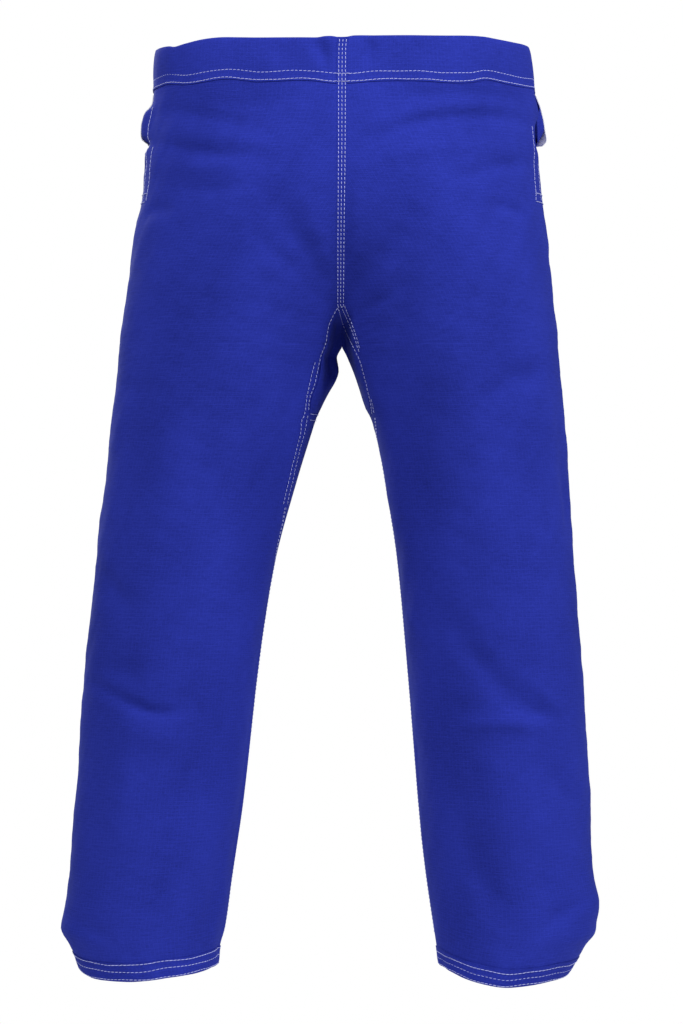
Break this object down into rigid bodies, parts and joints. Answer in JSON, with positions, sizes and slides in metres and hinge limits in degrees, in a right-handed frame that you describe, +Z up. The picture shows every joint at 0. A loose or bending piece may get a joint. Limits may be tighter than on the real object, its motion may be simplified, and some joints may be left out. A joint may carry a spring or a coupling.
{
  "type": "martial arts uniform trousers",
  "caption": "Long straight-leg martial arts trousers with a drawcord waistband, crotch gusset, side slits, knee patches and stitched hems.",
  "frame": {"origin": "centre of the waist opening, level with the waistband's top edge", "axes": "+Z up along the hanging trousers, -Y towards the wearer's front, +X towards the wearer's left"},
  "size_m": [0.5721, 0.2465, 0.9938],
  "materials": {
    "cloth_blue": "matt royal blue ripstop cotton",
    "thread_white": "matt pale thread",
    "patch_white": "satin woven patch"
  },
  "bodies": {
    "seat": {"seat_back_left": "cloth_blue", "seat_back_right": "cloth_blue", "seat_front_left": "cloth_blue", "seat_front_right": "cloth_blue", "hip_back_left": "cloth_blue", "hip_back_right": "cloth_blue", "hip_front_left": "cloth_blue", "hip_front_right": "cloth_blue", "side_facing_left": "cloth_blue", "side_facing_right": "cloth_blue", "hip_patch_left": "patch_white", "hip_patch_right": "patch_white", "cord_loop_left": "cloth_blue", "cord_loop_right": "cloth_blue", "cord_eyelet_left": "thread_white", "cord_eyelet_right": "thread_white", "gusset": "cloth_blue", "waistband_back": "cloth_blue", "waistband_front": "cloth_blue", "centre_tape_back": "cloth_blue", "centre_tape_front": "cloth_blue"},
    "thigh_left": {"thigh_back_left": "cloth_blue", "thigh_front_left": "cloth_blue", "knee_back_left": "cloth_blue", "knee_front_left": "cloth_blue", "knee_patch_left": "cloth_blue"},
    "shin_left": {"shin_back_left": "cloth_blue", "shin_front_left": "cloth_blue", "hem_back_left": "cloth_blue", "hem_front_left": "cloth_blue"},
    "thigh_right": {"thigh_back_right": "cloth_blue", "thigh_front_right": "cloth_blue", "knee_back_right": "cloth_blue", "knee_front_right": "cloth_blue", "knee_patch_right": "cloth_blue"},
    "shin_right": {"shin_back_right": "cloth_blue", "shin_front_right": "cloth_blue", "hem_back_right": "cloth_blue", "hem_front_right": "cloth_blue"}
  },
  "joints": [
    {"name": "hip_left", "type": "hinge", "parent": "seat", "child": "thigh_left", "pos_m": [0.13, 0, -0.318], "axis": [-1, 0, 0], "range_deg": [-30, 60], "deforming": ["hip_back_left", "hip_front_left", "gusset"]},
    {"name": "knee_left", "type": "hinge", "parent": "thigh_left", "child": "shin_left", "pos_m": [0.179, 0, -0.62], "axis": [1, 0, 0], "range_deg": [0, 90], "deforming": ["knee_back_left", "knee_front_left", "knee_patch_left"]},
    {"name": "hip_right", "type": "hinge", "parent": "seat", "child": "thigh_right", "pos_m": [-0.13, 0, -0.318], "axis": [-1, 0, 0], "range_deg": [-30, 60], "deforming": ["hip_back_right", "hip_front_right"]},
    {"name": "knee_right", "type": "hinge", "parent": "thigh_right", "child": "shin_right", "pos_m": [-0.161, 0, -0.62], "axis": [1, 0, 0], "range_deg": [0, 90], "deforming": ["knee_back_right", "knee_front_right", "knee_patch_right"]}
  ]
}
